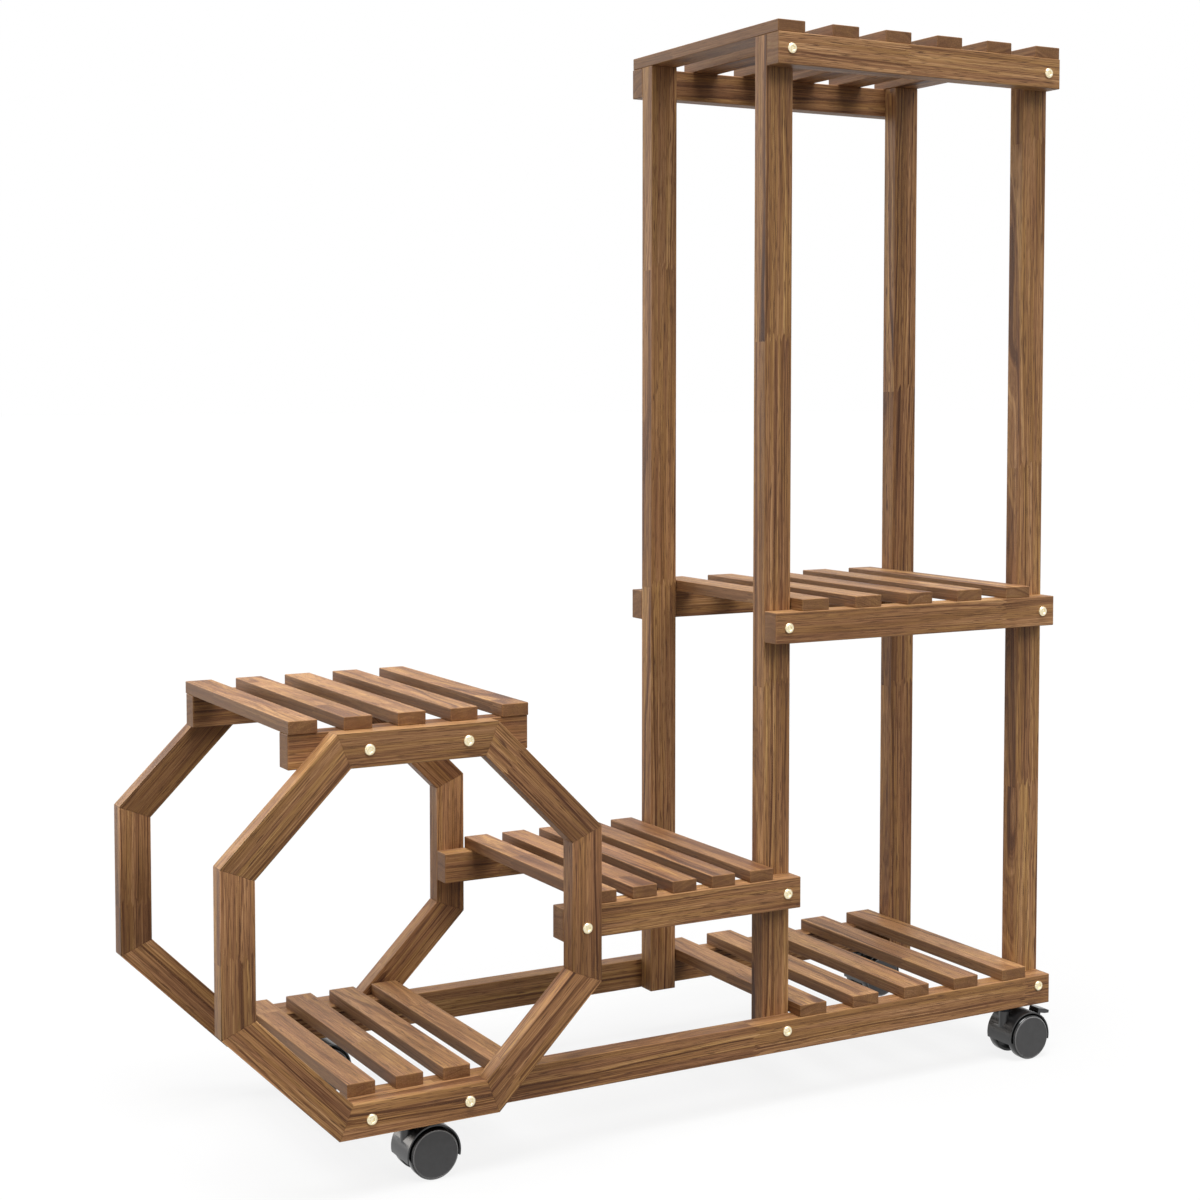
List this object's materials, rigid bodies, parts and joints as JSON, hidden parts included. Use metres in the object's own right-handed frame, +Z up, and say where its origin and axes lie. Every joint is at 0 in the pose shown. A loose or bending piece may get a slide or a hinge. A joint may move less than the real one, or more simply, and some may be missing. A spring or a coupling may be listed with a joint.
{
  "type": "rolling plant stand",
  "caption": "Slatted wooden plant stand on swivel casters: tall two-bay tower, low step shelf and an open octagon bay with a shelf on top, bolted together.",
  "frame": {"origin": "on the floor, in the middle of the plan", "axes": "+X from the octagon to the tower, +Y from front to rear, +Z up"},
  "size_m": [0.8978, 0.3124, 1.0305],
  "materials": {
    "stained_fir": "satin",
    "beech": "matte",
    "bolt_brass": "satin",
    "zinc_steel": "satin",
    "caster_black": "satin",
    "wheel_plastic": "satin"
  },
  "bodies": {
    "frame": {"caster_stems": "zinc_steel", "connector_bolts": "bolt_brass", "deck_slats": "stained_fir", "front_bottom_rail": "stained_fir", "front_left_post": "stained_fir", "front_middle_rail": "stained_fir", "front_octagon_bottom": "stained_fir", "front_octagon_left": "stained_fir", "front_octagon_lower_left": "stained_fir", "front_octagon_lower_right": "stained_fir", "front_octagon_rail": "stained_fir", "front_octagon_right": "stained_fir", "front_octagon_top": "stained_fir", "front_octagon_upper_left": "stained_fir", "front_octagon_upper_right": "stained_fir", "front_right_post": "stained_fir", "front_step_rail": "stained_fir", "front_top_rail": "stained_fir", "middle_slats": "stained_fir", "octagon_floor_slats": "stained_fir", "octagon_shelf_slats": "stained_fir", "rear_bottom_rail": "stained_fir", "rear_left_post": "stained_fir", "rear_middle_rail": "stained_fir", "rear_octagon_bottom": "stained_fir", "rear_octagon_left": "stained_fir", "rear_octagon_lower_left": "stained_fir", "rear_octagon_lower_right": "stained_fir", "rear_octagon_rail": "stained_fir", "rear_octagon_right": "stained_fir", "rear_octagon_top": "stained_fir", "rear_octagon_upper_left": "stained_fir", "rear_octagon_upper_right": "stained_fir", "rear_right_post": "stained_fir", "rear_step_rail": "stained_fir", "rear_top_rail": "stained_fir", "stem_inserts": "zinc_steel", "step_slats": "stained_fir", "threaded_inserts": "zinc_steel", "top_slats": "stained_fir", "wood_dowels": "beech"},
    "front_left_swivel": {"front_left_hood": "caster_black", "front_left_axle": "zinc_steel"},
    "front_left_front_roller": {"front_left_front_wheel": "wheel_plastic"},
    "front_left_rear_roller": {"front_left_rear_wheel": "wheel_plastic"},
    "front_right_swivel": {"front_right_hood": "caster_black", "front_right_axle": "zinc_steel"},
    "front_right_front_roller": {"front_right_front_wheel": "wheel_plastic"},
    "front_right_rear_roller": {"front_right_rear_wheel": "wheel_plastic"},
    "front_right_brake": {"front_right_brake_lever": "caster_black"},
    "rear_left_swivel": {"rear_left_hood": "caster_black", "rear_left_axle": "zinc_steel"},
    "rear_left_front_roller": {"rear_left_front_wheel": "wheel_plastic"},
    "rear_left_rear_roller": {"rear_left_rear_wheel": "wheel_plastic"},
    "rear_right_swivel": {"rear_right_hood": "caster_black", "rear_right_axle": "zinc_steel"},
    "rear_right_front_roller": {"rear_right_front_wheel": "wheel_plastic"},
    "rear_right_rear_roller": {"rear_right_rear_wheel": "wheel_plastic"},
    "rear_right_brake": {"rear_right_brake_lever": "caster_black"}
  },
  "joints": [
    {"name": "front_left_caster_turn", "type": "hinge", "parent": "frame", "child": "front_left_swivel", "pos_m": [-0.27337, -0.126, 0.05], "axis": [0, 0, 1], "continuous": true},
    {"name": "front_left_front_wheel_roll", "type": "hinge", "parent": "front_left_swivel", "child": "front_left_front_roller", "pos_m": [-0.25487, -0.126, 0.0225], "axis": [0, 1, 0], "continuous": true},
    {"name": "front_left_rear_wheel_roll", "type": "hinge", "parent": "front_left_swivel", "child": "front_left_rear_roller", "pos_m": [-0.25487, -0.126, 0.0225], "axis": [0, 1, 0], "continuous": true},
    {"name": "front_right_caster_turn", "type": "hinge", "parent": "frame", "child": "front_right_swivel", "pos_m": [0.39513, -0.126, 0.05], "axis": [0, 0, 1], "continuous": true},
    {"name": "front_right_front_wheel_roll", "type": "hinge", "parent": "front_right_swivel", "child": "front_right_front_roller", "pos_m": [0.41363, -0.126, 0.0225], "axis": [0, 1, 0], "continuous": true},
    {"name": "front_right_rear_wheel_roll", "type": "hinge", "parent": "front_right_swivel", "child": "front_right_rear_roller", "pos_m": [0.41363, -0.126, 0.0225], "axis": [0, 1, 0], "continuous": true},
    {"name": "front_right_brake_press", "type": "hinge", "parent": "front_right_swivel", "child": "front_right_brake", "pos_m": [0.43469, -0.126, 0.03724], "axis": [0, 1, 0], "range_deg": [0, 18]},
    {"name": "rear_left_caster_turn", "type": "hinge", "parent": "frame", "child": "rear_left_swivel", "pos_m": [-0.27337, 0.126, 0.05], "axis": [0, 0, 1], "continuous": true},
    {"name": "rear_left_front_wheel_roll", "type": "hinge", "parent": "rear_left_swivel", "child": "rear_left_front_roller", "pos_m": [-0.25487, 0.126, 0.0225], "axis": [0, 1, 0], "continuous": true},
    {"name": "rear_left_rear_wheel_roll", "type": "hinge", "parent": "rear_left_swivel", "child": "rear_left_rear_roller", "pos_m": [-0.25487, 0.126, 0.0225], "axis": [0, 1, 0], "continuous": true},
    {"name": "rear_right_caster_turn", "type": "hinge", "parent": "frame", "child": "rear_right_swivel", "pos_m": [0.39513, 0.126, 0.05], "axis": [0, 0, 1], "continuous": true},
    {"name": "rear_right_front_wheel_roll", "type": "hinge", "parent": "rear_right_swivel", "child": "rear_right_front_roller", "pos_m": [0.41363, 0.126, 0.0225], "axis": [0, 1, 0], "continuous": true},
    {"name": "rear_right_rear_wheel_roll", "type": "hinge", "parent": "rear_right_swivel", "child": "rear_right_rear_roller", "pos_m": [0.41363, 0.126, 0.0225], "axis": [0, 1, 0], "continuous": true},
    {"name": "rear_right_brake_press", "type": "hinge", "parent": "rear_right_swivel", "child": "rear_right_brake", "pos_m": [0.43469, 0.126, 0.03724], "axis": [0, 1, 0], "range_deg": [0, 18]}
  ]
}
